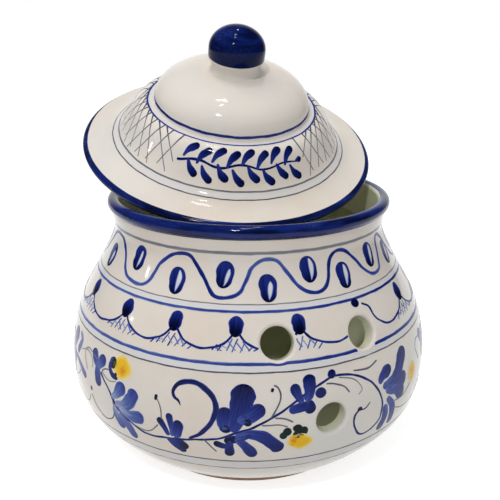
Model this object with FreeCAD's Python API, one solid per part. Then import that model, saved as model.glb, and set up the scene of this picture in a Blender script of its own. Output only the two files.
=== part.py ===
"""Garlic keeper: a thrown and glazed pot with vent holes and a loose, knobbed lid.

Millimetres, +Z up. The origin is the middle of the foot, on the surface the pot
stands on; -Y is the front. The jar is upright, and the lid lies ajar on it, tipped
towards the front. Each form is drawn as a half section in the XZ plane and turned
about Z. The lid and the knob are drawn upright, then laid on the jar together.
"""
import FreeCAD, Part
import math
import os

from FreeCAD import Placement, Rotation, Vector

# ---------------------------------------------------------------- jar, outside
FOOT_RADIUS = 48.0
FOOT_EDGE_HEIGHT = 2.5      # the short upright edge of the foot
SWELL_RADIUS = 59.9         # where the lower wall turns upwards
SWELL_HEIGHT = 9.8
FLANK_RADIUS = 72.3
FLANK_HEIGHT = 25.0
BELLY_RADIUS = 75.0
BELLY_HEIGHT = 42.3
SHOULDER_RADIUS = 68.2
SHOULDER_HEIGHT = 68.9
THROAT_RADIUS = 58.7        # where the shoulder sweeps into the neck
THROAT_HEIGHT = 85.5
NECK_RADIUS = 55.4
NECK_HEIGHT = 93.0
RIM_RADIUS = 57.7           # outside of the rolled rim
RIM_ROLL = 2.5              # radius of the roll
RIM_TUCK = 66.0             # degrees that the roll wraps under, outside
JAR_HEIGHT = 106.8

# ----------------------------------------------------------------- jar, inside
WALL = 5.0
FLOOR = 7.0
FLOOR_RADIUS = 36.0         # the flat of the floor inside
FOOT_RING_WIDTH = 9.0       # what the turned foot stands on
FOOT_RECESS_DEPTH = 2.0

# ------------------------------------------------------------------ vent holes
VENT_RADIUS = 5.8
VENT_LIP = 1.2              # rounding of each hole's outer lip
VENT_CLUSTER = (            # (degrees round from the front towards +X, height)
    (8.4, 71.4),
    (36.4, 69.8),
    (23.2, 40.4),
)
VENT_SIDES = (0.0, 180.0)   # the same cluster, front and back

# ------------------------------------------------------------------------- lid
LID_RADIUS = 61.0
LID_ROLL = 1.5              # radius of the brim's rounded edge
LID_WALL = 4.6
BRIM_RADIUS = 48.5          # where the brim turns up into the cone
BRIM_RISE = 2.8             # fall of the brim's top, out to its edge
CONE_FOOT_RADIUS = 46.1
CONE_FOOT_HEIGHT = 7.8
CONE_SWELL = 1.4            # how far the cone bulges out of straight
CONE_TOP_RADIUS = 34.4
CONE_TOP_HEIGHT = 20.9
DOME_RADIUS = 31.9
DOME_FOOT_HEIGHT = 22.4
DOME_RISE = 12.8
COLLAR_RADIUS = 49.5        # the tapered ring that drops inside the mouth
COLLAR_TOE_RADIUS = 42.0
COLLAR_DEPTH = 18.0
COLLAR_WALL = 4.0

# ------------------------------------------------------------------------ knob
KNOB_BASE_RADIUS = 10.4
KNOB_WAIST_RADIUS = 9.8
KNOB_WAIST_HEIGHT = 1.9
KNOB_LIP_RADIUS = 10.7
KNOB_LIP_HEIGHT = 4.6
KNOB_RADIUS = 11.3
KNOB_WIDEST_HEIGHT = 9.2
KNOB_HEIGHT = 18.2

# ------------------------------------------------- how the lid lies on the jar
LID_TILT = 21.6             # degrees off level
LID_TILT_TOWARDS = 15.6     # degrees round from the front, towards +X
LID_SHIFT = (-9.0, 17.9)    # middle of the brim, off the jar's axis
REST_GAP = 0.3              # left between the lid and the rim
GAP_TOLERANCE = 0.02


def at(radius, height):
    """A point of a half section."""
    return Vector(radius, 0, height)


def line(start, end):
    return Part.LineSegment(start, end).toShape()


def arc(start, middle, end):
    return Part.Arc(start, middle, end).toShape()


def curve(points, start, end):
    """A smooth curve through the points, with its directions at both ends."""
    spline = Part.BSplineCurve()
    spline.interpolate(Points=points, InitialTangent=start, FinalTangent=end)
    return spline


def quarter_ellipse(centre, reach, rise):
    """From straight out of the centre, over to straight above it."""
    quarter = Part.BezierCurve()
    quarter.setPoles([centre + at(reach, 0), centre + at(reach, rise), centre + at(0, rise)])
    quarter.setWeight(2, math.sqrt(0.5))
    return quarter


def inset(spline, points, depth):
    """The points moved square to the curve, towards the hollow side."""
    moved = []
    for point in points:
        along = spline.tangent(spline.parameter(point))[0]
        moved.append(point + Vector(-along.z, 0, along.x) * depth)
    return moved


def turned(edges):
    """The closed half section, turned about Z."""
    face = Part.Face(Part.Wire(Part.__sortEdges__(edges)))
    return Part.Solid(face.revolve(Vector(0, 0, 0), Vector(0, 0, 1), 360))


def jar_body():
    """The pot without its holes."""
    roll = at(RIM_RADIUS - RIM_ROLL, JAR_HEIGHT - RIM_ROLL)

    def on_roll(degrees):
        angle = math.radians(degrees)
        return roll + at(math.cos(angle), math.sin(angle)) * RIM_ROLL

    foot_edge = at(FOOT_RADIUS, FOOT_EDGE_HEIGHT)
    stations = [
        at(SWELL_RADIUS, SWELL_HEIGHT),
        at(FLANK_RADIUS, FLANK_HEIGHT),
        at(BELLY_RADIUS, BELLY_HEIGHT),
        at(SHOULDER_RADIUS, SHOULDER_HEIGHT),
        at(THROAT_RADIUS, THROAT_HEIGHT),
        at(NECK_RADIUS, NECK_HEIGHT),
    ]
    outside = curve([foot_edge] + stations + [on_roll(-RIM_TUCK)], at(1, 0.45), at(0.2, 1))
    floor_edge = at(FLOOR_RADIUS, FLOOR)
    inside = curve([floor_edge] + inset(outside, stations, WALL) + [on_roll(180)], at(1, 0.12), at(0.2, 1))

    ring_inner = FOOT_RADIUS - FOOT_RING_WIDTH
    recess = at(ring_inner, FOOT_RECESS_DEPTH)
    return turned([
        line(at(0, FLOOR), floor_edge),
        inside.toShape(),
        arc(on_roll(180), on_roll(90), on_roll(0)),
        arc(on_roll(0), on_roll(-RIM_TUCK / 2), on_roll(-RIM_TUCK)),
        outside.toShape(),
        line(foot_edge, at(FOOT_RADIUS, 0)),
        line(at(FOOT_RADIUS, 0), at(ring_inner, 0)),
        line(at(ring_inner, 0), recess),
        line(recess, at(0, FOOT_RECESS_DEPTH)),
        line(at(0, FOOT_RECESS_DEPTH), at(0, FLOOR)),
    ])


def vents():
    """One cutter for each hole, aimed at the middle of the belly."""
    cutters = []
    middle = Vector(0, 0, BELLY_HEIGHT)
    for side in VENT_SIDES:
        for degrees, height in VENT_CLUSTER:
            angle = math.radians(side + degrees)
            outward = Vector(math.sin(angle), -math.cos(angle), 0)
            target = outward * BELLY_RADIUS + Vector(0, 0, height)
            cutters.append(Part.makeCylinder(VENT_RADIUS, 2 * BELLY_RADIUS, middle, target - middle))
    return cutters


def jar():
    """The pot, with its holes cut and their outer lips rounded."""
    pot = jar_body().cut(vents())
    outside = max(pot.Faces, key=lambda face: face.Area)
    lips = [edge for edge in outside.Edges if edge.Length < 3 * math.pi * VENT_RADIUS]
    return pot.makeFillet(min(VENT_LIP, WALL / 3), lips).Solids[0]


def lid():
    """The lid, upright, with the underside of its brim at height 0."""
    edge_roll = LID_RADIUS - LID_ROLL
    brim_edge = at(edge_roll, 2 * LID_ROLL)
    brim_foot = at(BRIM_RADIUS, brim_edge.z + BRIM_RISE)
    cone_foot = at(CONE_FOOT_RADIUS, CONE_FOOT_HEIGHT)
    cone_top = at(CONE_TOP_RADIUS, CONE_TOP_HEIGHT)
    up_cone = (cone_top - cone_foot).normalize()
    cone_middle = (cone_foot + cone_top) / 2 + Vector(up_cone.z, 0, -up_cone.x) * CONE_SWELL
    dome_foot = at(DOME_RADIUS, DOME_FOOT_HEIGHT)
    brim = curve([brim_edge, brim_foot, cone_foot, cone_middle, cone_top, dome_foot], at(-1, 0.1), at(0, 1))
    dome_top = DOME_FOOT_HEIGHT + DOME_RISE
    dome = quarter_ellipse(at(KNOB_BASE_RADIUS, DOME_FOOT_HEIGHT), DOME_RADIUS - KNOB_BASE_RADIUS, DOME_RISE)

    toe_half = COLLAR_WALL / 2
    toe_height = toe_half - COLLAR_DEPTH
    toe_outer = at(COLLAR_TOE_RADIUS, toe_height)
    toe_inner = at(COLLAR_TOE_RADIUS - COLLAR_WALL, toe_height)
    toe = at(COLLAR_TOE_RADIUS - toe_half, -COLLAR_DEPTH)
    hollow_foot = at(COLLAR_RADIUS - COLLAR_WALL, 0)
    hollow = [hollow_foot]
    hollow += inset(brim, [cone_middle], LID_WALL)
    hollow += inset(dome, [dome.value(0.5)], LID_WALL)
    hollow += [at(0, dome_top - LID_WALL)]
    return turned([
        arc(at(edge_roll, 0), at(LID_RADIUS, LID_ROLL), brim_edge),
        brim.toShape(),
        dome.toShape(),
        line(at(KNOB_BASE_RADIUS, dome_top), at(0, dome_top)),
        line(at(0, dome_top), hollow[-1]),
        curve(hollow, at(-0.1, 1), at(-1, 0)).toShape(),
        line(hollow_foot, toe_inner),
        arc(toe_inner, toe, toe_outer),
        line(toe_outer, at(COLLAR_RADIUS, 0)),
        line(at(COLLAR_RADIUS, 0), at(edge_roll, 0)),
    ])


def knob():
    """The knob, upright, seated on the flat on top of the dome."""
    seat = DOME_FOOT_HEIGHT + DOME_RISE
    stations = [
        at(KNOB_BASE_RADIUS, seat),
        at(KNOB_WAIST_RADIUS, seat + KNOB_WAIST_HEIGHT),
        at(KNOB_LIP_RADIUS, seat + KNOB_LIP_HEIGHT),
        at(KNOB_RADIUS, seat + KNOB_WIDEST_HEIGHT),
    ]
    crown = quarter_ellipse(at(0, stations[-1].z), KNOB_RADIUS, KNOB_HEIGHT - KNOB_WIDEST_HEIGHT)
    return turned([
        curve(stations, at(-1, 1), at(0, 1)).toShape(),
        crown.toShape(),
        line(at(0, seat + KNOB_HEIGHT), at(0, seat)),
        line(at(0, seat), stations[0]),
    ])


def lean(height):
    """The placement of the lid, with the middle of its brim at this height."""
    towards = math.radians(LID_TILT_TOWARDS)
    hinge = Vector(math.cos(towards), math.sin(towards), 0)
    return Placement(Vector(*LID_SHIFT, height), Rotation(hinge, LID_TILT))


def settled(pot, cover):
    """The placement at which the tipped lid has come down to the gap on the rim.

    Each step lowers it by what is left over the gap, so it can't pass into the rim.
    """
    height = JAR_HEIGHT + COLLAR_DEPTH + LID_RADIUS
    excess = GAP_TOLERANCE
    while excess >= GAP_TOLERANCE:
        trial = cover.copy()
        trial.Placement = lean(height)
        excess = pot.distToShape(trial)[0] - REST_GAP
        height -= max(excess, 0)
    return lean(height)


def main():
    os.makedirs("parts", exist_ok=True)
    nodes = {"jar": jar(), "lid": lid(), "knob": knob()}
    place = settled(jar_body(), nodes["lid"])
    for name in ("lid", "knob"):
        nodes[name].Placement = place
    for name, shape in nodes.items():
        shape.exportStep(f"parts/{name}.step")


main()
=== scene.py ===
"""Garlic keeper: the looks of a vented, hand-painted earthenware pot and its loose lid.

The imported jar, lid and knob keep their shapes and get glazes. The brushwork is closed
shells of colour, less than a tenth of a millimetre proud, laid on the turned walls. Sizes
are in millimetres until they reach a mesh, which is in metres. A place on a wall is a pair:
degrees round from the front towards +X, and the height on the jar or the radius on the lid.
Ink runs from 0, bare glaze, to 1, the thickest colour.
"""

import bpy
import math
import random

import numpy as np

from mathutils import Euler, Matrix, Quaternion, Vector


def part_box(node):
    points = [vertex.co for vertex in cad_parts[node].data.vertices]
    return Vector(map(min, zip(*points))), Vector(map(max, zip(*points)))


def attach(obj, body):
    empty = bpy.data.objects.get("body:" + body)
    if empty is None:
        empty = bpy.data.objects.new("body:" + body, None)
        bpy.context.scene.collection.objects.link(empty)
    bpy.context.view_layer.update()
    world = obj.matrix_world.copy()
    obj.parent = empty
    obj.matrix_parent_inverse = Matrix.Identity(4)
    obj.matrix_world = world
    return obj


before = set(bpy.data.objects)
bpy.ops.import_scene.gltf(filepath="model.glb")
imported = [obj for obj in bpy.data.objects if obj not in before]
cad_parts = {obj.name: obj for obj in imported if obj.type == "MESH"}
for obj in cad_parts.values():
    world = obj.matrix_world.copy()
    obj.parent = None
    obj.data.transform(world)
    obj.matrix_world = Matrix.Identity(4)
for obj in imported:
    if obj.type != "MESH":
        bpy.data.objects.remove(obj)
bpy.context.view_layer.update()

MM = 0.001

# ---- camera
IMAGE_SIDE = 500  # pixels
FOCAL_PIXELS = 705.5
SENSOR_WIDTH = 36.0
CLIP_START = 0.01  # metres
CAMERA_PLACE = Vector((0.0, -286.2, 172.2)) * MM
CAMERA_PITCH = math.radians(17.77)
CAMERA_YAW = math.radians(0.13)
CAMERA_ROLL = math.radians(0.15)

# ---- studio
SKY_LEVEL = 0.42  # of the world's light on the pot; 1 shows a colour as written
SKY_TINT = (0.95, 0.97, 1.0, 1.0)
WHITE = (1.0, 1.0, 1.0, 1.0)
ROOM_LEVEL = 0.06  # what a glossy surface sees in front of and above the pot
SHEET_EDGE = (0.6, 0.98)  # of the way to the back, where the room gives way to white
PAPER = 0.7  # how much light the floor returns
PAPER_GLOW = 0.74  # what it adds where it is looked at, so that it stays white
PAPER_ROUGHNESS = 0.9
PAPER_SHEEN = 0.5
FLOOR_REACH = 3.0  # metres
LAMP_AIM = Vector((0, 0, 0.07))
LAMPS = (  # name, place and size in metres, watts, mirrored in the glaze
    ("key", (-0.2, -0.9, 1.1), (0.09, 0.09), 4.6, True),
    ("side", (-1.15, -0.14, 0.43), (0.03, 0.04), 0.22, True),
    ("overhead", (-0.02, -0.05, 1.3), (0.12, 0.12), 1.0, True),
    ("overhead_front", (-0.05, -0.32, 1.25), (0.06, 0.06), 0.6, True),
    ("overhead_back", (0.06, 0.45, 1.25), (0.06, 0.1), 0.6, True),
    ("ceiling", (-0.3, 0.0, 1.25), (0.8, 0.8), 4.0, False),
    ("fill", (0.1, -1.2, 0.35), (1.0, 1.0), 0.8, False),
)

# ---- how the lid lies on the jar
LID_TILT = math.radians(21.6)
LID_TILT_TOWARDS = math.radians(15.6)
LID_SHIFT = (-9.0, 17.9)
COLLAR_TOE_RADIUS = 42.0
COLLAR_DEPTH = 18.0
TOE_HALF = 2.0

# ---- glazes
GLAZE_ROUGHNESS = 0.08
GLAZE_SHEEN = 0.2
KNOB_SHEEN = 0.08
BRUSH_SHEEN = 0.1
RIPPLE_DEPTH = 0.00006  # metres
RIPPLE_STRENGTH = 0.35
JAR_OUTSIDE = (  # height and radius of the jar's wall, from the foot to the rim
    (0.0, 48.0), (9.8, 59.9), (25.0, 72.3), (42.3, 75.0),
    (68.9, 68.2), (85.5, 58.7), (93.0, 55.4), (106.8, 57.7),
)
CURVE_SPAN = 100.0  # the radius that a float curve's 1 stands for
INSIDE_FROM = (-3.2, -2.2)  # how far past the outside the inner green gives way to cream
RIM_BAND_FOOT = 101.8  # height at which the blue of the jar's rim starts
RIM_BAND_INNER = 53.6  # radius inside which the rim is bare glaze again
FOOT_GLAZE_LINE = 3.2  # the glaze stops above the foot
BRIM_BAND_INNER = 59.0  # radius at which the blue of the brim starts, at the front
BRIM_BAND_THINNING = 1.5  # how much further out it starts at the back
BRIM_THINS_OVER = (-0.005, 0.05)  # metres behind the lid's middle
KNOB_SEAT = 35.2  # height of the knob's seat over the brim's underside
KNOB_BLUE_LINE = 6.0  # the knob's blue starts this far over its seat
KNOB_SHADE_HEIGHTS = (19, 9)  # painted shade: the blue darkens from the first to the second of these heights, towards the seat
# how far the painted shade under the knob darkens its blue
KNOB_SHADE_STRENGTH = 0.85

# ---- vent holes
VENT_AIM = 42.3  # height on the axis that the holes point at
BELLY_RADIUS = 75.0
VENT_CLEAR = 6.7  # radius that a hole and most of its rounded lip take
VENT_CLUSTER = ((8.4, 71.4), (36.4, 69.8), (23.2, 40.4))
VENT_SIDES = (0.0, 180.0)
GRAZE = 1.2  # a mark that crosses a lip by less than this goes round it
NO_HOLES = (60, 170)  # degrees; a strip of the jar between the front and the back holes


# ---- colours
def srgb(*values):
    """A colour read as 0-255 sRGB, as linear RGBA."""
    values = [value / 255 for value in values]
    return (*(v / 12.92 if v <= 0.04045 else ((v + 0.055) / 1.055) ** 2.4 for v in values), 1.0)


CREAM = srgb(229, 221, 211)
CREAM_WARM = srgb(226, 212, 198)
CREAM_COOL = srgb(222, 219, 212)
INSIDE_GREEN = srgb(222, 224, 190)
TERRACOTTA = srgb(214, 184, 158)
TERRACOTTA_DARK = srgb(188, 152, 124)
RIM_BLUE = srgb(18, 36, 108)
RIM_BLUE_DEEP = srgb(4, 15, 56)
RIM_BLUE_WORN = srgb(60, 76, 146)

COBALT = (  # ink, then the colour of a mark that has so much
    (0.12, 212, 214, 220), (0.3, 150, 162, 200),
    (0.45, 82, 102, 168), (0.62, 42, 58, 140),
    (0.8, 20, 34, 106), (0.92, 9, 17, 62),
    (1.0, 4, 7, 28),
)
SLATE = (  # the thin banding lines
    (0.12, 214, 212, 208), (0.45, 150, 150, 156),
    (0.8, 88, 90, 106), (1.0, 56, 58, 78),
)
SUNNY = (
    (0.15, 236, 216, 150), (0.5, 236, 196, 40),
    (0.8, 232, 168, 20), (1.0, 222, 130, 20),
)
MOSS = (
    (0.2, 150, 170, 170), (0.6, 24, 52, 52),
    (1.0, 8, 26, 22),
)


# ---- wiring
class Wiring:
    """Short ways to wire a node tree."""

    def __init__(self, tree):
        self.tree = tree

    def link(self, value, socket):
        """Put a number, a colour or another node's output on a socket."""
        if isinstance(value, bpy.types.NodeSocket):
            self.tree.links.new(value, socket)
        else:
            socket.default_value = value

    def node(self, kind, **inputs):
        """A new node, with values or other nodes' outputs on its named inputs."""
        node = self.tree.nodes.new("ShaderNode" + kind)
        for name, value in inputs.items():
            self.link(value, node.inputs[name])
        return node

    def math(self, operation, *values):
        node = self.node("Math")
        node.operation = operation
        for value, socket in zip(values, node.inputs):
            self.link(value, socket)
        return node.outputs[0]

    def step(self, value, low, high, start=0.0):
        """The start up to low, 1 from high, and smooth between."""
        ends = {"From Min": low, "From Max": high, "To Min": start}
        node = self.node("MapRange", Value=value, **ends)
        node.interpolation_type = "SMOOTHSTEP"
        return node.outputs[0]

    def axes(self, vector):
        return self.node("SeparateXYZ", Vector=vector).outputs

    def ray(self, kind):
        return self.node("LightPath").outputs[kind]

    def seen_directly(self):
        """1 for a ray from the camera, off a mirror or through glass, and 0 for any other."""
        glossy, through = self.ray("Is Glossy Ray"), self.ray("Is Transmission Ray")
        either = self.math("MAXIMUM", glossy, through)
        return self.math("MAXIMUM", self.ray("Is Camera Ray"), either)


class Material(Wiring):
    """A material with one shader, and ways to colour it."""

    def __init__(self, name, roughness=GLAZE_ROUGHNESS, sheen=GLAZE_SHEEN):
        self.material = bpy.data.materials.new(name)
        self.material.use_nodes = True
        super().__init__(self.material.node_tree)
        self.shader = self.tree.nodes["Principled BSDF"]
        self.shader.inputs["Roughness"].default_value = roughness
        self.shader.inputs["Specular IOR Level"].default_value = sheen

    def mix(self, amount, first, second):
        node = self.node("Mix")
        node.data_type = "RGBA"
        self.link(amount, node.inputs[0])
        self.link(first, node.inputs[6])
        self.link(second, node.inputs[7])
        return node.outputs[2]

    def place(self):
        return self.node("TexCoord").outputs["Object"]

    def noise(self, scale, stretch=(1, 1, 1), detail=3.0, vector=None):
        """Noise over the object, with scale in features per metre."""
        place = self.node("Mapping", Vector=vector or self.place(), Scale=stretch).outputs[0]
        return self.node("TexNoise", Vector=place, Scale=scale, Detail=detail).outputs["Fac"]

    def laid_back(self, placement):
        """The place in a piece's own upright frame, for a piece that lies by a placement."""
        shift, turn = placement.to_translation(), placement.to_euler()
        node = self.node("Mapping", Vector=self.place(), Location=shift, Rotation=turn)
        node.vector_type = "TEXTURE"
        return node.outputs[0]

    def cylinder(self, vector):
        """The radius and the height of a place, in millimetres."""
        axes = self.axes(vector)
        squares = [self.math("MULTIPLY", axes[number], axes[number]) for number in (0, 1)]
        radius = self.math("SQRT", self.math("ADD", *squares))
        return self.math("DIVIDE", radius, MM), self.math("DIVIDE", axes[2], MM)

    def attribute(self, name):
        node = self.node("Attribute")
        node.attribute_name = name
        return node

    def ramp(self, value, start, stops):
        node = self.node("ValToRGB", Fac=value)
        steps = node.color_ramp.elements
        steps[0].color = start
        steps[1].color = srgb(*stops[-1][1:])
        for position, *colour in stops[:-1]:
            steps.new(position).color = srgb(*colour)
        return node.outputs["Color"]

    def cream(self):
        """The tin glaze: warm where it is thin, cooler where it pooled."""
        broad = self.mix(self.step(self.noise(14), 0.35, 0.65), CREAM_WARM, CREAM_COOL)
        return self.mix(self.step(self.noise(45, detail=5), 0.3, 0.7), broad, CREAM)

    def glazed(self, colour):
        """The finished material, with the slight waviness of a brushed and fired glaze."""
        self.link(colour, self.shader.inputs["Base Color"])
        height = self.noise(160, detail=2)
        bump = self.node("Bump", Strength=RIPPLE_STRENGTH, Distance=RIPPLE_DEPTH, Height=height)
        self.link(bump.outputs[0], self.shader.inputs["Normal"])
        return self.material


# ---- the stage
def put_in_scene(name, data):
    thing = bpy.data.objects.new(name, data)
    bpy.context.scene.collection.objects.link(thing)
    return thing


def add_camera():
    data = bpy.data.cameras.new("camera")
    data.sensor_width = SENSOR_WIDTH
    data.lens = FOCAL_PIXELS / IMAGE_SIDE * SENSOR_WIDTH
    data.clip_start = CLIP_START
    camera = put_in_scene("camera", data)
    aim = Euler((math.pi / 2 - CAMERA_PITCH, 0, -CAMERA_YAW)).to_quaternion()
    turn = aim @ Quaternion((0, 0, 1), CAMERA_ROLL)
    camera.matrix_world = Matrix.LocRotScale(CAMERA_PLACE, turn, None)
    bpy.context.scene.camera = camera


def add_lamps():
    for name, place, size, power, mirrored in LAMPS:
        data = bpy.data.lights.new(name, "AREA")
        data.shape = "RECTANGLE"
        data.size, data.size_y = size
        data.energy = power
        lamp = put_in_scene(name, data)
        lamp.location = place
        lamp.visible_glossy = mirrored
        lamp.rotation_euler = (LAMP_AIM - Vector(place)).to_track_quat("-Z", "Y").to_euler()


def add_world():
    """Plain light on the pot, and white wherever the camera looks.

    A glaze mirrors a white sheet behind the pot, and a dim room in front of it.
    """
    world = bpy.data.worlds.new("studio")
    bpy.context.scene.world = world
    world.use_nodes = True
    world.node_tree.nodes.clear()
    kit = Wiring(world.node_tree)
    mix = kit.node("MixShader", Fac=kit.seen_directly())
    depth = kit.axes(kit.node("TexCoord").outputs["Generated"])[1]
    sheet = kit.step(depth, *SHEET_EDGE, ROOM_LEVEL)
    white = kit.math("MAXIMUM", kit.ray("Is Camera Ray"), sheet)
    for colour, level, socket in ((SKY_TINT, SKY_LEVEL, 1), (WHITE, white, 2)):
        light = kit.node("Background", Color=colour, Strength=level)
        kit.link(light.outputs[0], mix.inputs[socket])
    kit.node("OutputWorld", Surface=mix.outputs[0])


def add_floor():
    """A white sheet that shows only the shadow and the faint bounce of the pot."""
    mesh = bpy.data.meshes.new("floor")
    corners = [(-1, -1, 0), (1, -1, 0), (1, 1, 0), (-1, 1, 0)]
    mesh.from_pydata([Vector(corner) * FLOOR_REACH for corner in corners], [], [(0, 1, 2, 3)])
    floor = put_in_scene("floor", mesh)
    kit = Material("paper", PAPER_ROUGHNESS, PAPER_SHEEN)
    glow = kit.math("MULTIPLY", kit.seen_directly(), PAPER_GLOW)
    kit.link((PAPER, PAPER, PAPER, 1), kit.shader.inputs["Base Color"])
    kit.link(WHITE, kit.shader.inputs["Emission Color"])
    kit.link(glow, kit.shader.inputs["Emission Strength"])
    mesh.materials.append(kit.material)


# ---- glazes
def banded_blue(kit, vector):
    """Cobalt laid on a turning rim: streaked along the turn, thin and dark in places."""
    streak = kit.noise(60, stretch=(1, 1, 9), detail=4, vector=vector)
    patch = kit.noise(38, stretch=(1, 1, 2), detail=2, vector=vector)
    fleck = kit.noise(1500, detail=2, vector=vector)
    deep = kit.mix(kit.step(streak, 0.36, 0.62), RIM_BLUE_DEEP, RIM_BLUE)
    worn = kit.math("MULTIPLY", kit.step(patch, 0.5, 0.72), kit.step(fleck, 0.4, 0.62))
    return kit.mix(kit.math("MULTIPLY", worn, 0.55), deep, RIM_BLUE_WORN)


def wavering(kit, edge, swing, vector):
    """An edge as an unsteady hand leaves it."""
    wander = kit.math("SUBTRACT", kit.noise(35, vector=vector), 0.5)
    return kit.math("ADD", kit.math("MULTIPLY", wander, 2 * swing), edge)


def jar_glaze():
    kit = Material("jar_tin_glaze")
    vector = kit.place()
    radius, height = kit.cylinder(vector)
    outside = kit.step(past_the_wall(kit, radius, height), *INSIDE_FROM)
    colour = kit.mix(outside, INSIDE_GREEN, kit.cream())
    low = wavering(kit, RIM_BAND_FOOT, 0.35, vector)
    over = kit.step(kit.math("SUBTRACT", height, low), -0.15, 0.15)
    inner = wavering(kit, RIM_BAND_INNER, 0.4, vector)
    outer = kit.step(kit.math("SUBTRACT", radius, inner), -0.2, 0.2)
    colour = kit.mix(kit.math("MULTIPLY", over, outer), colour, banded_blue(kit, vector))
    clay = kit.mix(kit.noise(300), TERRACOTTA, TERRACOTTA_DARK)
    line = wavering(kit, FOOT_GLAZE_LINE, 0.5, vector)
    bare = kit.step(kit.math("SUBTRACT", line, height), -0.2, 0.3)
    return kit.glazed(kit.mix(bare, colour, clay))


def past_the_wall(kit, radius, height):
    """How far a place is past the jar's outside, which a curve follows from the foot up."""
    top = JAR_OUTSIDE[-1][0]
    curve = kit.node("FloatCurve", Value=kit.math("DIVIDE", height, top))
    points = curve.mapping.curves[0].points
    points[0].location = (0.0, JAR_OUTSIDE[0][1] / CURVE_SPAN)
    points[1].location = (1.0, JAR_OUTSIDE[-1][1] / CURVE_SPAN)
    for station, reach in JAR_OUTSIDE[1:-1]:
        points.new(station / top, reach / CURVE_SPAN)
    curve.mapping.update()
    return kit.math("SUBTRACT", radius, kit.math("MULTIPLY", curve.outputs[0], CURVE_SPAN))


def lid_glaze(placement):
    kit = Material("lid_tin_glaze")
    vector = kit.laid_back(placement)
    depth = kit.step(kit.axes(vector)[1], *BRIM_THINS_OVER)
    thinning = kit.math("MULTIPLY", depth, BRIM_BAND_THINNING)
    edge = kit.math("ADD", wavering(kit, BRIM_BAND_INNER, 0.3, vector), thinning)
    blue = kit.step(kit.math("SUBTRACT", kit.cylinder(vector)[0], edge), -0.15, 0.15)
    return kit.glazed(kit.mix(blue, kit.cream(), banded_blue(kit, vector)))


def knob_glaze(placement):
    kit = Material("knob_glaze", sheen=KNOB_SHEEN)
    vector = kit.laid_back(placement)
    height = kit.cylinder(vector)[1]
    edge = wavering(kit, KNOB_SEAT + KNOB_BLUE_LINE, 0.6, vector)
    blue = kit.step(kit.math("SUBTRACT", height, edge), -0.2, 0.2)
    # painted shade: the knob's blue darkens towards its seat, on the underside that is turned from
    # the light
    deep = kit.step(height, *(KNOB_SEAT + over for over in KNOB_SHADE_HEIGHTS))
    deep = kit.math("MULTIPLY", deep, KNOB_SHADE_STRENGTH)
    colour = kit.mix(deep, banded_blue(kit, vector), RIM_BLUE_DEEP)
    return kit.glazed(kit.mix(blue, kit.cream(), colour))


def brush_colour(name, stops, streakiness=0.3):
    """Ink as a loaded brush leaves it: each mark has its own strength, in streaks along it."""
    kit = Material(name, sheen=BRUSH_SHEEN)
    ink = kit.attribute("ink").outputs["Fac"]
    along = kit.attribute("brush").outputs["Vector"]
    streak = kit.noise(1.0, stretch=(0.12, 1.5, 1), vector=along)
    shift = kit.math("MULTIPLY", kit.math("SUBTRACT", streak, 0.5), streakiness)
    density = kit.math("ADD", ink, kit.math("MULTIPLY", shift, kit.step(ink, 0.0, 0.35)))
    return kit.glazed(kit.ramp(density, CREAM, stops))


# ---- walls and marks
def from_turn(azimuth, turn):
    """Degrees from one turn to another, between -180 and 180."""
    return (azimuth - turn + 180) % 360 - 180


def runs_of(flags):
    """The numbers of the flags, split where the flags change."""
    return np.split(np.arange(len(flags)), np.flatnonzero(np.diff(flags.astype(int))) + 1)


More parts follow.
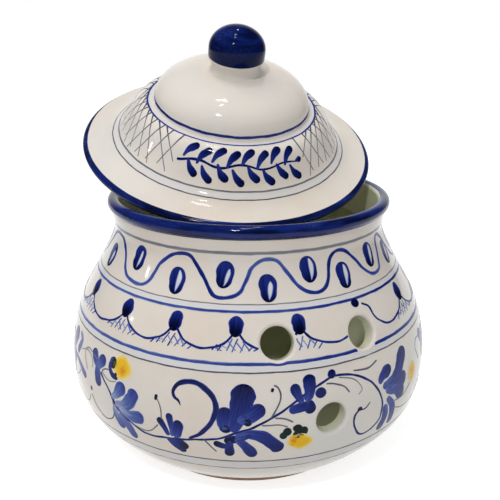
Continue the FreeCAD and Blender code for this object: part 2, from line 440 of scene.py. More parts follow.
class Turned:
    """The painted side of a turned piece, as a chart of degrees and one more measure."""

    ROW = 0.2  # rows of the half section closer than this are taken as one
    FRONT = 95  # degrees; a stroke further round is made straight from above

    def __init__(self, node, placement, by_height, painted):
        self.node = node
        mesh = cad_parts[node].data
        spots, normals = np.empty((2, len(mesh.vertices), 3), np.float32)
        mesh.vertices.foreach_get("co", spots.ravel())
        mesh.vertex_normals.foreach_get("vector", normals.ravel())
        self.turn = np.array(placement.to_3x3())
        self.shift = np.array(placement.to_translation())
        spots = (spots - self.shift) @ self.turn / MM
        normals = normals @ self.turn
        radius = np.hypot(spots[:, 0], spots[:, 1])
        outward = (spots[:, :2] * normals[:, :2]).sum(1) / np.maximum(radius, 0.1)
        azimuth = np.degrees(np.arctan2(spots[:, 0], -spots[:, 1]))
        kept = painted(azimuth, spots[:, 2], outward, normals[:, 2])
        radius, height = radius[kept], spots[kept, 2]
        measure = height if by_height else radius
        rows = np.unique(np.round(measure / self.ROW), return_index=True)[1]
        self.measure = measure[rows]
        self.lines = [radius[rows], height[rows]]
        self.lines += [np.gradient(line, self.measure) for line in self.lines]
        self.hand = 1 if by_height else -1
        self.vents = []

    def section(self, measure):
        """The wall's radius and height, and how each of them changes with the measure."""
        return [np.interp(measure, self.measure, line) for line in self.lines]

    def scale(self, measure):
        """Millimetres on the wall for one degree round, and for one unit of the measure."""
        radius, _, rise, run = self.section(measure)
        return radius * math.pi / 180, np.hypot(rise, run)

    def straight(self, azimuth, first, last, lean, points=9):
        """Places on a stroke between two rings that looks straight from the camera."""
        measures = np.linspace(first, last, points)
        turns = np.linspace(azimuth, azimuth + lean, points)
        sight = (0, math.cos(CAMERA_PITCH), -math.sin(CAMERA_PITCH))
        if abs(from_turn(azimuth + lean / 2, 0)) >= self.FRONT:
            sight = (0, 0, -1)
        radius, height = self.section(measures)[:2]
        angle = np.radians(turns)
        spots = np.stack((radius * np.sin(angle), -radius * np.cos(angle), height), -1)
        plane = np.cross(spots[-1] - spots[0], sight @ self.turn)
        cut = (spots[0] @ plane - plane[2] * height) / (radius * math.hypot(*plane[:2]))
        swing = np.degrees(np.arcsin(np.clip(cut, -1, 1)))
        base = math.degrees(math.atan2(plane[1], plane[0]))
        near, far = (from_turn(choice, turns) for choice in (base + swing, base + 180 - swing))
        return list(zip(turns + np.where(np.abs(near) < np.abs(far), near, far), measures))

    def places(self, azimuth, measure, lift):
        """World places over the chart, lifted off the wall, and the wall's normals there."""
        angle = np.radians(azimuth)
        out = np.stack((np.sin(angle), -np.cos(angle), 0 * angle), -1)
        up = np.array((0.0, 0.0, 1.0))
        radius, height, rise, run = (row[..., None] for row in self.section(measure))
        normal = (out * run - up * rise) * self.hand
        normal /= np.linalg.norm(normal, axis=-1, keepdims=True)
        spot = out * radius + up * height + normal * lift[..., None]
        return spot * MM @ self.turn.T + self.shift, normal @ self.turn.T

    def cut_vents(self):
        """Find where on the wall the holes come out."""
        heights = np.linspace(VENT_AIM, self.measure[-1], 2000)
        reach = self.section(heights)[0]
        for side in VENT_SIDES:
            for azimuth, height in VENT_CLUSTER:
                miss = np.abs(reach * (height - VENT_AIM) - (heights - VENT_AIM) * BELLY_RADIUS)
                self.vents.append((side + azimuth, heights[miss.argmin()]))

    def from_vent(self, vent, azimuth, measure):
        """How far round and up from the middle of a hole, in millimetres."""
        across, along = self.scale(measure)
        return from_turn(azimuth, vent[0]) * across, (measure - vent[1]) * along

    def open_at(self, azimuth, measure, radius=VENT_CLEAR):
        inside = np.zeros(np.shape(azimuth), bool)
        for vent in self.vents:
            inside |= np.hypot(*self.from_vent(vent, azimuth, measure)) < radius
        return inside

    def lost(self, azimuth, measure):
        """Which places of a path fall in a hole; a path that only grazes a lip loses none."""
        inside = self.open_at(azimuth, measure)
        deep = self.open_at(azimuth, measure, VENT_CLEAR - GRAZE)
        gone = np.zeros(len(azimuth), bool)
        for run in runs_of(inside):
            gone[run] = inside[run[0]] and deep[run].any()
        return gone

    def kept_off(self, azimuth, measure, margin=0.0):
        """The places moved straight out of any hole that they are in."""
        clear = VENT_CLEAR + margin
        for vent in self.vents:
            right, up = self.from_vent(vent, azimuth, measure)
            away = np.hypot(right, up)
            push = np.where(away < clear, clear / np.maximum(away, 0.01) - 1, 0)
            across, along = self.scale(measure)
            azimuth = azimuth + push * right / across
            measure = measure + push * up / along
        return azimuth, measure


def smooth(points, closed=False, steps=16):
    """A curve through the points, as many short runs."""
    points = np.array(points, float)
    if len(points) == 2:
        return points[0] + (points[1] - points[0]) * np.linspace(0, 1, steps)[:, None]
    if closed:
        turn = points[-1] - points[0]
        points = np.vstack((points[-2] - turn, points, points[1] + turn))
    else:
        points = np.vstack((2 * points[0] - points[1], points, 2 * points[-1] - points[-2]))
    share = np.linspace(0, 1, steps, endpoint=False)[:, None]
    runs = [
        0.5 * (2 * b + (c - a) * share + (2 * a - 5 * b + 4 * c - d) * share ** 2
               + (3 * b - 3 * c + d - a) * share ** 3)
        for a, b, c, d in zip(points, points[1:], points[2:], points[3:])
    ]
    return np.vstack((*runs, points[-2]))


class Brushwork:
    """Marks in one colour on one wall: closed shells, joined in one piece."""

    LIFT = 0.07  # the face of a mark over the wall
    EDGE_LIFT = 0.035
    ROOT = 0.25  # how deep a shell goes into the wall
    EASE = 0.7  # how much closer a mark's stations are at its ends
    WIDTH_WAVE = 9.0  # millimetres from one swelling of an unsteady mark to the next
    SWAY_WAVE = 14.0
    SWAY = 0.8
    SWERVE = 0.6  # of its half width that a mark's middle keeps off a hole
    DRY_EDGE = 0.4  # of its ink that a mark loses at its edges

    def __init__(self, wall, name, paint, seed):
        self.name, self.wall, self.paint = name, wall, paint
        self.body, self.slot = wall.node, wall.node + "_glaze"
        self.chance = random.Random(seed).uniform
        self.offset = 0  # degrees that the marks are moved round
        self.shells, self.faces = [], []
        self.count = 0  # points so far

    def mark(self, points, width, ink, closed=False, columns=5, unsteady=0.12, spacing=0.8):
        """One stroke of the brush along a curve through the points.

        Its width in millimetres and its ink are numbers or functions: of the share of the way
        along, and for the ink also of the place across, from -1 on the left to 1 on the right.
        """
        path = smooth(points, closed)
        across, along = self.wall.scale(path[:, 1])
        runs = np.hypot(np.diff(path[:, 0]) * across[1:], np.diff(path[:, 1]) * along[1:])
        gone = np.concatenate(((0,), np.cumsum(runs)))
        length = gone[-1]
        count = max(10, int(length / spacing))
        share = np.linspace(0, 1, count)
        if not closed:
            share = share - np.sin(math.tau * share) / math.tau * self.EASE
        azimuth = np.interp(share * length, gone, path[:, 0]) + self.offset
        measure = np.interp(share * length, gone, path[:, 1])
        half = width(share) / 2 if callable(width) else np.full(count, width / 2)
        half = half * (1 + unsteady * self.waver(share, self.WIDTH_WAVE, closed, length))
        if not closed:
            for to_end in (share * length, (1 - share) * length):
                cap = np.minimum(to_end / np.maximum(half, 0.01), 1)
                half = half * np.sqrt(np.maximum(1 - (1 - cap) ** 2, 0.0004))
        sway = self.SWAY * unsteady * self.waver(share, self.SWAY_WAVE, closed, length)
        self.lay(azimuth, measure, half, sway, share, length, ink, closed, columns)

    def waver(self, share, wave, closed, length):
        """Slow chance swings between about -1 and 1 along a mark; they meet on a closed one."""
        total = np.zeros(len(share))
        for octave in (1, 2.3):
            turns = length * octave / wave
            if closed:
                turns = max(1, round(turns))
            phase = self.chance(0, math.tau)
            total += np.sin(math.tau * turns * share + phase) / (1 + octave)
        return total

    def lay(self, azimuth, measure, half, sway, share, length, ink, closed, columns):
        """Build a mark's shell round its middle line, whole or in runs between the holes."""
        solid = ~self.wall.lost(azimuth, measure)
        swerved = self.wall.kept_off(azimuth, measure, half * self.SWERVE)
        azimuth, measure = np.where(solid, swerved, (azimuth, measure))
        across, along = self.wall.scale(measure)
        if closed:
            right = from_turn(np.roll(azimuth, -1), np.roll(azimuth, 1))
            up = np.roll(measure, -1) - np.roll(measure, 1)
            right[0], right[-1] = right[1], right[-2]
            up[0] = up[-1] = measure[1] - measure[-2]
        else:
            right, up = np.gradient(azimuth), np.gradient(measure)
        right, up = right * across, up * along
        size = np.maximum(np.hypot(right, up), 1e-6)
        seed = self.chance(0, 1000)
        place = np.linspace(-1, 1, columns)
        shift = half[:, None] * place + sway[:, None]
        azimuths = azimuth[:, None] + shift * (up / size / across)[:, None]
        measures = measure[:, None] + shift * (-right / size / along)[:, None]
        azimuths, measures = self.wall.kept_off(azimuths, measures)
        lift = np.where(np.abs(place) == 1, self.EDGE_LIFT, self.LIFT)
        edges = [-1, 0]
        top, normal = self.wall.places(azimuths, measures, lift)
        root, root_normal = self.wall.places(
            azimuths[:, edges], measures[:, edges], np.full(2, -self.ROOT))
        density = ink(share[:, None], place) if callable(ink) else ink
        density = (density + 0 * shift) * (1 - self.DRY_EDGE * np.abs(place) ** 6)
        gone = share[:, None] * length + 0 * shift
        brush = np.stack((gone, shift + seed, 0 * shift + seed), -1)
        shell = [np.concatenate(pair, 1) for pair in (
            (top, root), (normal, root_normal),
            (density, density[:, edges]), (brush, brush[:, edges]),
        )]
        if closed and solid.all():
            self.tube([rows[:-1] for rows in shell], True)
            return
        if closed:
            *shell, solid = (np.roll(rows, -np.argmin(solid), 0) for rows in (*shell, solid))
        for run in runs_of(solid):
            if solid[run[0]] and len(run) > 2:
                self.tube([rows[run] for rows in shell], False)

    def tube(self, shell, closed):
        """Join the rings of a shell by faces, with ends or round on itself."""
        stations, around = shell[0].shape[:2]
        self.shells.append([rows.reshape(stations * around, -1) for rows in shell])
        index = self.count + np.arange(stations * around).reshape(stations, around)
        self.count += index.size
        before, after = (index, np.roll(index, -1, 0)) if closed else (index[:-1], index[1:])
        quads = np.stack((before, np.roll(before, -1, 1), np.roll(after, -1, 1), after), -1)
        hand = self.wall.hand
        self.faces += quads.reshape(-1, 4)[:, ::hand].tolist()
        if not closed:
            self.faces += [index[0, ::-hand].tolist(), index[-1, ::hand].tolist()]

    def finish(self):
        mesh = bpy.data.meshes.new(self.name)
        spots, normals, ink, brush = (np.vstack(rows) for rows in zip(*self.shells))
        mesh.from_pydata(spots.tolist(), [], self.faces)
        mesh.attributes.new("ink", "FLOAT", "POINT").data.foreach_set("value", ink.ravel())
        strokes = mesh.attributes.new("brush", "FLOAT_VECTOR", "POINT")
        strokes.data.foreach_set("vector", brush.ravel().astype(np.float32))
        mesh.shade_smooth()
        mesh.normals_split_custom_set_from_vertices(normals.tolist())
        mesh.materials.append(PAINTS[self.paint])
        piece = put_in_scene(self.name, mesh)
        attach(piece, self.body)


def round_the_back(front, count):
    """The places of a repeat: as drawn at the front, then evenly spread behind it."""
    step = (front[0] + 360 - front[-1]) / (count + 1 - len(front))
    return list(front) + [front[-1] + step * (place + 1) for place in range(count - len(front))]


def rings(brush, *bands):
    """Band lines drawn on the turning wheel, each with its place, width and ink."""
    for measure, width, ink in bands:
        turns = [(azimuth, measure) for azimuth in range(0, 361, 10)]
        brush.mark(turns, width, ink, closed=True, spacing=1.2)


# ---- the jar's bands
WAVES = 11
WAVE_CRESTS = (-67.0, -25.7, 8.4, 36.8, 63.3)
CREST_HEIGHT = 94.9
TROUGH_HEIGHT = 82.7
WAVE_FULLNESS = 0.8  # 1 is a plain sine; less is fuller at its crests and troughs
WAVE_BEND = math.sqrt(0.5) ** WAVE_FULLNESS
WAVE_SWING = (1, WAVE_BEND, 0, -WAVE_BEND)
WAVE_FRONT = (
    (-67, 94.8), (-61, 94.4), (-56.5, 91.6), (-53.5, 88.4), (-51.5, 85.2), (-48, 82.8),
    (-43, 82), (-39.5, 82.4), (-36.8, 84.4), (-35.5, 87.2), (-34, 90.4), (-31, 93.2),
    (-27.5, 94.8), (-24, 95.2), (-21.5, 94.6), (-19.5, 92.6), (-16.5, 89.2), (-13.5, 85),
    (-11.5, 82.8), (-8.5, 82.3), (-5, 82.8), (-2.5, 84.4), (-1.5, 86.4), (0, 89.6),
    (1, 91.6), (3.5, 93.6), (6.5, 94.6), (9.5, 94.4), (11.8, 92.6), (16, 86.8), (19, 84),
    (22.5, 82.7), (25, 82.7), (27.5, 84), (29, 86.2), (30, 89.4), (31.5, 92.6),
    (34, 94.4), (37, 94.8), (40, 93.6), (43.5, 90.2), (46, 87), (48.5, 84.8), (51, 83.5),
    (54, 83.2), (57, 84.2), (58.5, 86.6), (60, 89.6), (61.2, 92.8),
)
DROPS = (
    (-65.5, 86.5), (-45.4, 90.3), (-25.9, 86.1), (-8.6, 89.6), (6.3, 85.4), (21.5, 90.3),
    (35.7, 86.3), (52.3, 90.0), (67.5, 87.2),
)
DROP_WIDTH = 6.2
DROP_LENGTH = 8.8
CREST_DROP = (-0.6, 86.2)  # degrees from a crest, and the height, of the drop under it
TROUGH_DROP = (0.4, 90.0)
PEGS = (-65.1, -42.0, -22.7, -3.7, 15.4, 37.0, 61.7)
PEG_COUNT = 18
PEG_HEIGHT = 74.2
PEG_WIDTH = 5.2
PEG_FOOT = 2  # under a peg's middle; a peg with its foot in a hole is left out
STRING = ((0.03, 72.2), (0.2, 68.7), (0.5, 66.9), (0.8, 68.5), (0.97, 72.0))  # share, height
STRING_PAST_HOLE = ((2.5, 76.2), (5.2, 74.6), (6.2, 71.4), (8, 69))  # degrees past it, height
UNDER_STRINGS = ((2, 4, 8), (70.4, 68.8, 67.4))  # degrees from a peg, and where hatching starts
HATCHING = (  # places, lean of head and foot, drop, level, its swing, ink, width
    ((-6, -4, -2, 0, 2, 4.2, 6), 0.9, -0.8, 0, 66.3, (-0.5, 0.4), (0.5, 0.85), 0.5),
    ((-4.6, -2.7, -0.8, 1.2, 3.2), -1.0, 1.1, 0.7, 66.9, (-0.3, 0.3), (0.3, 0.5), 0.6),
)


def jar_rings(blue, grey, washes):
    turning = lambda share: 0.64 + 0.14 * np.sin(math.tau * (share - 0.05))
    dark = lambda share, place: turning(share) - 0.08 * place ** 2
    rings(washes, (79.4, 2.2, 0.07), (61.1, 2.6, 0.07), (23.5, 4.2, 0.05))
    rings(grey, (96.9, 1.3, 0.6), (80.4, 0.5, 0.62), (59.8, 0.6, 0.85))
    rings(grey, (25.7, 0.6, 0.8), (21.3, 0.5, 0.6))
    rings(blue, (78.3, 1.2, dark), (62.5, 1.4, dark))


def between(first, second, share=0.5):
    return first + (second - first) * share


def jar_wave(blue):
    """The wave as it was drawn at the front, then in even swings. Returns the swings' crests."""
    crests = round_the_back(WAVE_CRESTS, WAVES)[len(WAVE_CRESTS) - 1:] + [WAVE_CRESTS[0] + 360]
    points = list(WAVE_FRONT)
    for crest, after in zip(crests, crests[1:]):
        trough = between(crest, after)
        fall = (crest, trough, CREST_HEIGHT, TROUGH_HEIGHT)
        rise = (trough, after, TROUGH_HEIGHT, CREST_HEIGHT)
        for start, end, first, last in (fall, rise):
            for share, bent in zip((0, 0.25, 0.5, 0.75), WAVE_SWING):
                height = between(first, last, 0.5 - 0.5 * bent)
                points.append((between(start, end, share), height))
    points.append((WAVE_FRONT[0][0] + 360, WAVE_FRONT[0][1]))
    ink = lambda share, place: 0.66 + 0.14 * np.sin(share * math.tau * 7 + 2)
    blue.mark(points, 1.4, ink, closed=True, unsteady=0.16, spacing=0.9)
    return crests


def drop(brush, azimuth, height):
    """A bean-shaped drop: two loaded strokes with a sliver of thin wash between them."""
    lean = brush.chance(-0.6, 0.6)
    top = (azimuth + lean, height + DROP_LENGTH / 2)
    foot = (azimuth - lean, height - DROP_LENGTH / 2)
    sliver = brush.chance(-0.42, -0.22)
    open_width = brush.chance(0.24, 0.36)
    start = brush.chance(0.1, 0.3)

    def ink(share, place):
        along = np.clip((share - start) / (0.93 - start), 0, 1)
        wedge = open_width * np.sin(math.pi * along ** 0.8) ** 0.7 + 0.001
        gap = np.exp(-(np.abs(place - sliver - 0.35 * (share - 0.5)) / wedge) ** 6)
        return 0.74 + 0.24 * share ** 2 + 0.12 * np.abs(place) ** 3 - 0.7 * gap

    width = lambda share: DROP_WIDTH * (0.92 + 0.14 * np.sin(share * math.pi) - 0.12 * share)
    points = [top, (azimuth + 0.4, height), foot]
    brush.mark(points, width, ink, columns=21, unsteady=0.08, spacing=0.3)


def jar_drops(brush, crests):
    """The drops as drawn at the front; behind, one for each crest and for each trough."""
    troughs = [between(*pair) for pair in zip(crests, crests[1:])]
    for place in DROPS:
        drop(brush, *place)
    for turns, (aside, height) in ((crests[1:-1], CREST_DROP), (troughs, TROUGH_DROP)):
        for turn in turns:
            drop(brush, turn + aside, height)


def peg(brush, azimuth, height):
    """A short blob, thick with ink at its foot."""
    lean = brush.chance(-0.8, 0.8)
    ink = lambda share, place: 0.7 + 0.3 * np.clip(share * 1.3, 0, 1)
    width = lambda share: PEG_WIDTH * (0.72 + 0.36 * np.sin(share * math.pi) - 0.08 * share)
    points = [(azimuth + lean, height + 2.9), (azimuth, height), (azimuth - 0.3, height - 3.4)]
    brush.mark(points, width, ink, columns=9, unsteady=0.14, spacing=0.35)


def jar_arcade(brush, hatch):
    """Pegs, the strings that hang between them, and the hatching under each peg."""
    pegs = round_the_back(PEGS, PEG_COUNT)
    ink = lambda share, place: 0.72 + 0.2 * np.abs(2 * share - 1) ** 3
    for here, after in zip(pegs, pegs[1:] + [pegs[0] + 360]):
        string = [(between(here, after, share), height) for share, height in STRING]
        if hatch.wall.open_at(here, PEG_HEIGHT - PEG_FOOT):
            dab(brush, here, 76.9, 3.8, 0.95, 2.8)
            string[:2] = [(here + right, height) for right, height in STRING_PAST_HOLE]
        else:
            peg(brush, here, PEG_HEIGHT)
            hatching(hatch, here)
        brush.mark(string, 0.85, ink, unsteady=0.2, spacing=0.6)


def hatching(brush, azimuth):
    """A net of short strokes under a peg, from the strings down to one level."""
    chance = brush.chance
    for places, head_lean, foot_lean, below, level, swing, inks, width in HATCHING:
        for right in places:
            right += chance(-0.3, 0.3)
            foot = (azimuth + right + foot_lean, level + chance(*swing))
            top = np.interp(abs(right + head_lean), *UNDER_STRINGS) - below
            head = (azimuth + right + head_lean, top)
            ink = chance(*inks)
            brush.mark([head, foot], width, ink, columns=3, unsteady=0.25, spacing=0.5)


# ---- the jar's vine
VINE_TURNS = (0, 120, 240)  # degrees; the vine is drawn three times round
TIP_SHARE = 0.45  # of a leaf's width, from the last place given to its tip


def press(brush, points, width, ink, heel=0.3, columns=9):
    """A leaf in one press of a round brush: narrow where it starts, full and round at its tip.

    The mark ends past the last point, by a share of its width.
    """
    before, last = np.array(points[-2:])
    scale = brush.wall.scale(last[1])
    step = (last - before) * scale
    end = last + TIP_SHARE * width / math.hypot(*step) * step / scale
    swell = lambda share: width * (heel + (1 - heel) * np.clip(share / 0.6, 0, 1) ** 1.2)
    tone = lambda share, place: ink - 0.03 + 0.34 * (share - 0.6) + 0.14 * np.abs(place) ** 4
    brush.mark([*points[:-1], end], swell, tone, columns=columns, unsteady=0.1, spacing=0.4)


def stalk(brush, points, width, ink, tip=1.0):
    """A thin line that thins to its tip, a share of its width."""
    taper = lambda share: width * (1 - (1 - tip) * share)
    brush.mark(points, taper, ink, unsteady=0.18, spacing=0.6)


def dab(brush, azimuth, height, width, ink, tall=None, slant=0.2, columns=9, unsteady=0.12):
    """A short, slightly slanting mark, a little taller than wide where no height is given."""
    half = (tall or width * 1.15) / 2
    points = [(azimuth + slant, height + half), (azimuth, height), (azimuth - slant, height - half)]
    brush.mark(points, width, ink, columns=columns, unsteady=unsteady, spacing=0.35)


def from_middle(share, place):
    """0 in the middle of a dab and about 1 round its edge."""
    return np.hypot(place, 1.9 * (share - 0.5)) ** 2


def petal(brush, azimuth, height, width, tall):
    """A petal in yellow, thinner towards its edge."""
    soft = lambda share, place: 0.62 * np.clip(1.25 - from_middle(share, place), 0, 1)
    dab(brush, azimuth, height, width, soft, tall, slant=0.3, columns=13, unsteady=0.06)


def heart(brush, azimuth, height, width, tall):
    """The orange heart laid wet over a yellow petal."""
    soft = lambda share, place: 0.5 + 0.45 * np.clip(1.1 - from_middle(share, place), 0, 1)
    dab(brush, azimuth, height, width, soft, tall, unsteady=0.1)


def vine_stems(brush):
    """The long stem, with its forks and the dabs that end them."""
    stem = [
        (-47.5, 49), (-43, 43.5), (-41.5, 40.5), (-39, 37.5), (-32, 33), (-27.5, 32),
        (-21, 33), (-11, 35), (-6.5, 36.5), (-3.5, 38.3), (0, 40), (2.5, 41.5), (7.5, 45),
        (14, 50.5), (21, 55), (24.5, 56), (28, 55.5), (31, 54.5), (35, 51.5), (38, 48),
        (40, 44), (41, 40), (41, 36), (40.5, 33), (38, 30.5), (34.5, 29.5), (32, 31.5),
        (30.5, 35.5), (30.5, 39), (32, 41),
    ]
    stalk(brush, stem, 0.85, 0.84)
    stalk(brush, [(31.3, 41.4), (34, 40.7), (36, 42.5)], 0.7, 0.9, 0.6)
    dab(brush, 32.3, 41.3, 2.4, 0.95, 1.6)
    stalk(brush, [(-41.8, 42), (-39, 37.5), (-35.5, 34.5)], 0.9, 0.84, 0.5)
    dab(brush, -25.6, 48, 1.2, 0.95, 2.2)
    dab(brush, 6.4, 54, 1.2, 0.95)


def vine_tendrils(brush):
    """The thin grey lines that leave the stem."""
    for line in (
        ([(-41.6, 41), (-41.3, 35.5), (-43.5, 31.5), (-47.5, 30), (-51, 33), (-53, 37)],
         0.6, 0.8),
        ([(-43, 51.5), (-45.5, 51), (-47, 49.5)], 0.6, 0.7),
        ([(-47, 49.5), (-43.5, 47.5), (-40, 48.5)], 0.45, 0.55),
        ([(-33, 34), (-29.5, 33.3), (-27, 34.7), (-25, 37.5)], 0.5, 0.65),
        ([(-23.8, 40), (-24, 43), (-24.5, 45.5), (-25.5, 48)], 0.45, 0.85),
        ([(-12, 35), (-10.5, 33), (-8.5, 30)], 0.6, 0.8),
        ([(6, 44), (8, 48.5), (8.6, 52), (8, 54.5), (6.8, 55.6)], 0.6, 0.85),
        ([(7, 44), (9.5, 43.6), (12, 42)], 0.6, 0.8),
        ([(3.5, 41.5), (6, 41.3), (8.5, 41.2), (10.5, 40.3)], 0.55, 0.7),
        ([(21.5, 54), (24, 53.4), (27, 51.5), (28.7, 49)], 0.6, 0.8),
        ([(25.5, 55.2), (28.5, 54.2), (31, 52.5), (32.5, 50.3), (33, 48.5), (31.7, 47)],
         0.55, 0.7, 0.5),
        ([(30.5, 56.2), (33.5, 55.5), (36.5, 55.6), (39.5, 57)], 0.7, 0.85),
        ([(46, 38), (51, 37), (56, 39.5), (58, 42)], 0.55, 0.65),
        ([(47, 34.5), (54, 31.5), (62, 31), (66, 36)], 0.55, 0.65),
        ([(70, 53), (64, 54.5), (62, 51.5), (64.5, 46)], 0.55, 0.65),
    ):
        stalk(brush, *line)


def vine_curl(brush):
    """The thick tendril that curls over in the middle of a vine."""
    swell = lambda share: 0.9 + 1.2 * np.sin(math.pi * share) ** 0.7
    curl = [
        (-16, 34.5), (-13, 37), (-10.5, 40.5), (-9, 44), (-8.5, 48), (-9.5, 51.5),
        (-12, 54.5), (-14.5, 55.7), (-17, 55.5), (-19.3, 54.2), (-20.5, 52), (-20.3, 50),
        (-19.3, 48.8),
    ]
    brush.mark(curl, swell, 0.88, unsteady=0.14)
    stalk(brush, [(-19.6, 49.3), (-18.8, 48.4), (-18.3, 46.8)], 1.2, 0.9, 0.2)


def washed_leaf(brush):
    """The big leaf on the left, in thinner colour."""
    for leaf in (
        ([(-42, 41.5), (-39.8, 44), (-38, 47)], 5, 0.52, 0.4, 13),
        ([(-40.5, 39.5), (-36.5, 40.7), (-34.2, 44), (-33.5, 46)], 5.4, 0.54, 0.6, 13),
        ([(-38.8, 38.6), (-34.5, 37.3), (-31.5, 38)], 5.2, 0.5, 0.6, 13),
        ([(-41, 38.5), (-40.2, 34.5), (-38.8, 31.5)], 4, 0.52, 0.6),
        ([(-39, 36.4), (-36, 32.5), (-34.5, 29)], 4, 0.55, 0.7),
    ):
        press(brush, *leaf)


def small_leaves(brush):
    """The narrow leaves where the stem is lowest."""
    for leaf in (
        ([(-22, 34), (-23, 36.8), (-24.5, 39.5)], 2.7, 0.84, 0.6),
        ([(-21, 34), (-21, 38), (-21.6, 42)], 2.6, 0.76, 0.6),
        ([(-19.8, 33.7), (-19.3, 37), (-19, 39.3)], 4, 0.78, 0.8),
        ([(-22.5, 33), (-20.5, 30.7), (-18.2, 28.8)], 3, 0.84, 0.6),
        ([(-21, 33), (-18.8, 32), (-17.5, 30.7)], 3.4, 0.9, 0.6),
    ):
        press(brush, *leaf)


def upright_leaves(brush):
    """The three leaves at the top left of a vine."""
    for leaf in (
        ([(-49, 50), (-50.6, 52.5), (-51.4, 54.4)], 4.6, 0.68, 0.6),
        ([(-48.5, 50), (-47.7, 52.3), (-46.9, 53.8)], 4.6, 0.66, 0.6),
        ([(-49, 52), (-49.2, 48), (-48.5, 44.7)], 4.2, 0.7, 0.8),
    ):
        press(brush, *leaf)


def heart_leaf(brush):
    """The dark many-lobed leaf in the middle of a vine."""
    press(brush, [(-4.2, 38.8), (-3, 43), (-2.2, 47), (-1.3, 52.6)], 8.4, 0.84, 0.45, 15)
    press(brush, [(-6.2, 39.5), (-6.3, 43), (-6.2, 45.6)], 5.6, 0.78, 0.8)
    dab(brush, -6, 39.9, 5.4, 0.95, 3)
    press(brush, [(-2.8, 43), (0.4, 44.8), (2.6, 47)], 5.6, 0.74, 0.7, 11)
    dab(brush, -0.1, 42.6, 3.3, 0.95, 2.8)
    press(brush, [(1, 37.7), (-2.8, 36.2), (-5.3, 35.2)], 3.2, 0.93, 0.6)
    press(brush, [(-5, 35.3), (-5, 32), (-5, 29.9)], 3.6, 0.85, 0.7)
    press(brush, [(-5.2, 32.4), (-7, 33), (-8.4, 33.6)], 2.6, 0.92, 0.7)
    long_lobe = [(-3.4, 36.8), (0.5, 37.9), (4, 36.8), (6.3, 34.2), (7.8, 32.2)]
    press(brush, long_lobe, 5, 0.76, 0.6, 13)
    press(brush, [(-3.4, 36.3), (-0.5, 32.8), (1, 29.7)], 4, 0.76, 0.7)


def climbing_leaves(brush):
    """The leaves on the stem, right of the middle."""
    press(brush, [(14.5, 48.5), (13.3, 51.5), (12.6, 53.9)], 3.8, 0.82, 0.5)
    press(brush, [(15.7, 49), (16.6, 52.5), (16.6, 56)], 4.9, 0.8, 0.6)
    press(brush, [(10.8, 46.2), (14, 47), (16.6, 47.4)], 3.8, 0.82, 0.8)
    press(brush, [(15.8, 49), (16.6, 46.3)], 4.6, 0.85, 0.9)
    dab(brush, 19.8, 51.2, 4.6, 0.86, 3.8)
    dab(brush, 23.4, 56.9, 3.4, 0.9, 3.1)


def far_leaves(brush):
    """The slate-blue spray at the right end of a vine."""
    for leaf in (
        ([(39.8, 47.8), (41.2, 50.2), (43.6, 51.6)], 5, 0.76, 0.5),
        ([(41.2, 46), (46, 46.8), (49, 49.4), (50.4, 52), (51.8, 54.6)], 6, 0.74, 0.5, 13),
        ([(42.5, 45), (46.5, 43.3), (51, 45)], 6.6, 0.7, 0.5, 13),
        ([(45, 44), (48.4, 41.8), (50.2, 39.6)], 5.8, 0.7, 0.7),
        ([(42.4, 38.4), (43, 33), (41.8, 29)], 4, 0.72, 0.7),
        ([(43.3, 41), (46.3, 35.5), (46.5, 29.5)], 3.8, 0.68, 0.7),
    ):
        press(brush, *leaf)


def far_left_spray(tendrils, leaves):
    """The paler end of the next vine, left of the first turn of the stem."""
    press(leaves, [(-64.5, 57), (-62, 54.5), (-64.5, 49.5)], 3, 0.6, 0.6)
    press(leaves, [(-66.5, 46.5), (-62, 45), (-57.5, 42.5)], 3, 0.6, 0.6)
    stalk(tendrils, [(-61, 51.5), (-56.5, 53.5), (-53, 52), (-52, 48.5)], 0.6, 0.5)
    dab(leaves, -53, 39.5, 1.6, 0.8)


def vine_buds(yellow, orange, green, blue):
    """The two buds of a vine, and the dark leaves that hold them."""
    petal(yellow, -38.2, 54.5, 10.4, 9.2)
    heart(orange, -37.8, 53.6, 4.6, 4.6)
    dab(green, -41.8, 54.9, 4.2, 0.96, 4.4)
    press(blue, [(-42.6, 56.6), (-43.2, 53), (-42, 50.5), (-40.2, 50)], 2, 0.82, 0.8)
    dab(green, -40.5, 50.6, 1.7, 0.95, 2.4)
    petal(yellow, 14.1, 33.7, 11.4, 6.8)
    heart(orange, 12.2, 34.4, 4, 4.6)
    dab(green, 10.4, 38.3, 3.4, 0.9, 3.2)
    dab(green, 13.2, 39.3, 3.6, 0.96, 3)
    dab(green, 14.8, 37.9, 3.6, 0.96, 3.6)
    dab(green, 13.4, 36.9, 3.8, 0.9, 3.2)
    dab(green, 9.4, 36.9, 2.8, 0.75, 2.8)


def jar_vine(*vine):
    stems, tendrils, leaves, yellow, orange, green = vine
    for turn in VINE_TURNS:
        for brush in vine:
            brush.offset = turn
        vine_stems(stems)
        vine_tendrils(tendrils)
        vine_curl(stems)
        for spray in (washed_leaf, small_leaves, upright_leaves, heart_leaf, climbing_leaves,
                      far_leaves):
            spray(leaves)
        vine_buds(yellow, orange, green, leaves)
    for brush in vine:
        brush.offset = 0
    far_left_spray(tendrils, leaves)
    petal(yellow, 57.9, 44, 7.4, 9)
    heart(orange, 57.6, 44.6, 3.4, 4.2)


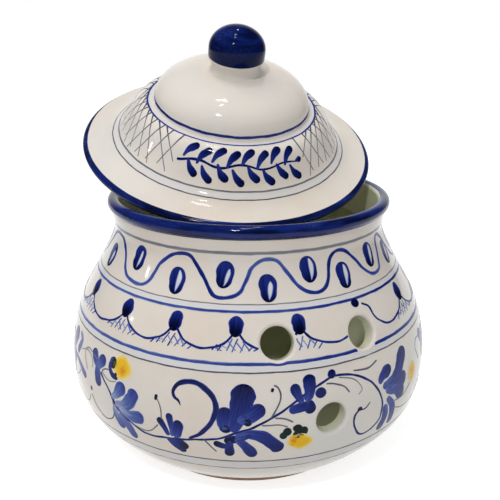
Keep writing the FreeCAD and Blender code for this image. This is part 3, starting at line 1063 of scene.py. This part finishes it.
# ---- the lid's bands
LATTICE_FIRST = 49  # degrees; the lattice runs from here round the back
LATTICE_LAST = 327
LATTICE_TOP = 34.6
LATTICE_FOOT = 45.4
LATTICE_SETS = ((7, 8.4, -12), (-20, 8.6, 2))  # lean, spacing and start of the lines
LATTICE_STRAY = 5  # how far a line may lean into the open front
SPRIG_MIDDLE = 41.2
SPRIG_STEM = [(-27, 41.8), (-16, 40.8), (-4, 41.6), (8, 40.8), (20, 41.7), (32, 41), (40, 41.4)]
SPRIG_PAIR = (((0, 0), (2.6, -2.0), (5.6, -3.2)), ((3, 0), (5.4, 1.7), (7.8, 2.6)))


def lid_rings(blue, grey, washes):
    rings(washes, (47.4, 2.3, 0.05), (33.6, 1.5, 0.05))
    rings(grey, (48.7, 0.5, 0.85), (46.2, 0.7, 0.7))
    rings(blue, (34.6, 0.9, 0.66), (31.87, 0.75, 0.78))


def lid_lattice(brush):
    """Crossed lines, dark at the dome and fainter towards the brim, mirrored at the back."""
    chance = brush.chance
    fade = lambda share, place: 0.97 - 0.3 * np.clip(share * 2.4, 0, 1)
    width = lambda share: 0.72 - 0.28 * np.clip(share * 2, 0, 1)
    for hand, first in ((-1, 360 - LATTICE_LAST), (1, LATTICE_FIRST)):
        for lean, spacing, begin in LATTICE_SETS:
            for line in range(int((180 - first - begin) / spacing)):
                start = first + begin + line * spacing + chance(-0.8, 0.8)
                turn = lean + chance(-1.5, 1.5)
                foot = LATTICE_FOOT + chance(-1.2, 0.5)
                points = brush.wall.straight(hand * start, LATTICE_TOP, foot, hand * turn)
                points = [point for point in points if abs(point[0]) > first - LATTICE_STRAY]
                if len(points) > 3:
                    brush.mark(points, width, fade, spacing=0.5)


def lid_sprig(brush):
    """A plain leafy sprig on the front of the lid, between the two lattices."""
    stalk(brush, SPRIG_STEM, 1.1, 0.88, 0.6)
    for pair, azimuth in enumerate(range(-24, 36, 8)):
        middle = SPRIG_MIDDLE + (0.4 if pair % 2 else -0.3)
        for leaf in SPRIG_PAIR:
            points = [(azimuth + right, middle + out) for right, out in leaf]
            press(brush, points, 3.0, 0.86)
    press(brush, [(39, 41.3), (42, 41.2)], 2.4, 0.88)


# ---- putting it together
JAR_BATCHES = (  # the name, the paint and the seed of each
    ("jar_band_washes", "cobalt", 2),
    ("jar_blue_bands", "cobalt", 3),
    ("jar_grey_bands", "slate", 4),
    ("jar_drops", "cobalt", 5),
    ("jar_arcade", "cobalt", 6),
    ("jar_arcade_hatching", "cobalt", 7),
    ("jar_vine_stems", "cobalt", 8),
    ("jar_vine_tendrils", "slate", 17),
    ("jar_vine_leaves", "cobalt", 9),
    ("jar_vine_petals", "yellow", 10),
    ("jar_vine_hearts", "yellow", 11),
    ("jar_vine_sepals", "green", 12),
)
LID_BATCHES = (
    ("lid_band_washes", "cobalt", 13),
    ("lid_grey_bands", "slate", 14),
    ("lid_blue_bands", "cobalt", 18),
    ("lid_lattice", "slate", 15),
    ("lid_sprig", "cobalt", 16),
)


def lid_placement():
    """Where the lid lies: its tilt and shift are set, and its height is read off its box."""
    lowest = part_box("lid")[0].z / MM
    height = (lowest + TOE_HALF + (COLLAR_DEPTH - TOE_HALF) * math.cos(LID_TILT)
              + (COLLAR_TOE_RADIUS - TOE_HALF) * math.sin(LID_TILT))
    hinge = Vector((math.cos(LID_TILT_TOWARDS), math.sin(LID_TILT_TOWARDS), 0))
    shift = Vector((*LID_SHIFT, height)) * MM
    return Matrix.Translation(shift) @ Matrix.Rotation(LID_TILT, 4, hinge)


def glaze(node, material):
    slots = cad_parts[node].data.materials
    slots.clear()
    slots.append(material)


def jar_painted(azimuth, height, outward, upward):
    """The outside of the jar, on a strip that has no hole."""
    return (azimuth > NO_HOLES[0]) & (azimuth < NO_HOLES[1]) & (outward > 0.2)


def lid_painted(azimuth, height, outward, upward):
    """The top of the lid, without the brim's edge."""
    return (height > 0) & (upward > 0.25)


def paint_jar():
    wall = Turned("jar", Matrix.Identity(4), True, jar_painted)
    wall.cut_vents()
    batches = [Brushwork(wall, *batch) for batch in JAR_BATCHES]
    washes, blue, grey, drops, arcade, hatch, *vine = batches
    jar_rings(blue, grey, washes)
    jar_drops(drops, jar_wave(blue))
    jar_arcade(arcade, hatch)
    jar_vine(*vine)
    for batch in batches:
        batch.finish()


def paint_lid(placement):
    wall = Turned("lid", placement, False, lid_painted)
    batches = [Brushwork(wall, *batch) for batch in LID_BATCHES]
    washes, grey, blue, lattice, sprig = batches
    lid_rings(blue, grey, washes)
    lid_lattice(lattice)
    lid_sprig(sprig)
    for batch in batches:
        batch.finish()


bpy.context.scene.view_settings.view_transform = "Standard"
add_camera()
add_lamps()
add_world()
add_floor()

lid_place = lid_placement()
glaze("jar", jar_glaze())
glaze("lid", lid_glaze(lid_place))
glaze("knob", knob_glaze(lid_place))
PAINTS = {
    "cobalt": brush_colour("cobalt_brush", COBALT, 0.36),
    "slate": brush_colour("slate_line", SLATE),
    "yellow": brush_colour("yellow_brush", SUNNY),
    "green": brush_colour("green_brush", MOSS),
}
paint_jar()
paint_lid(lid_place)
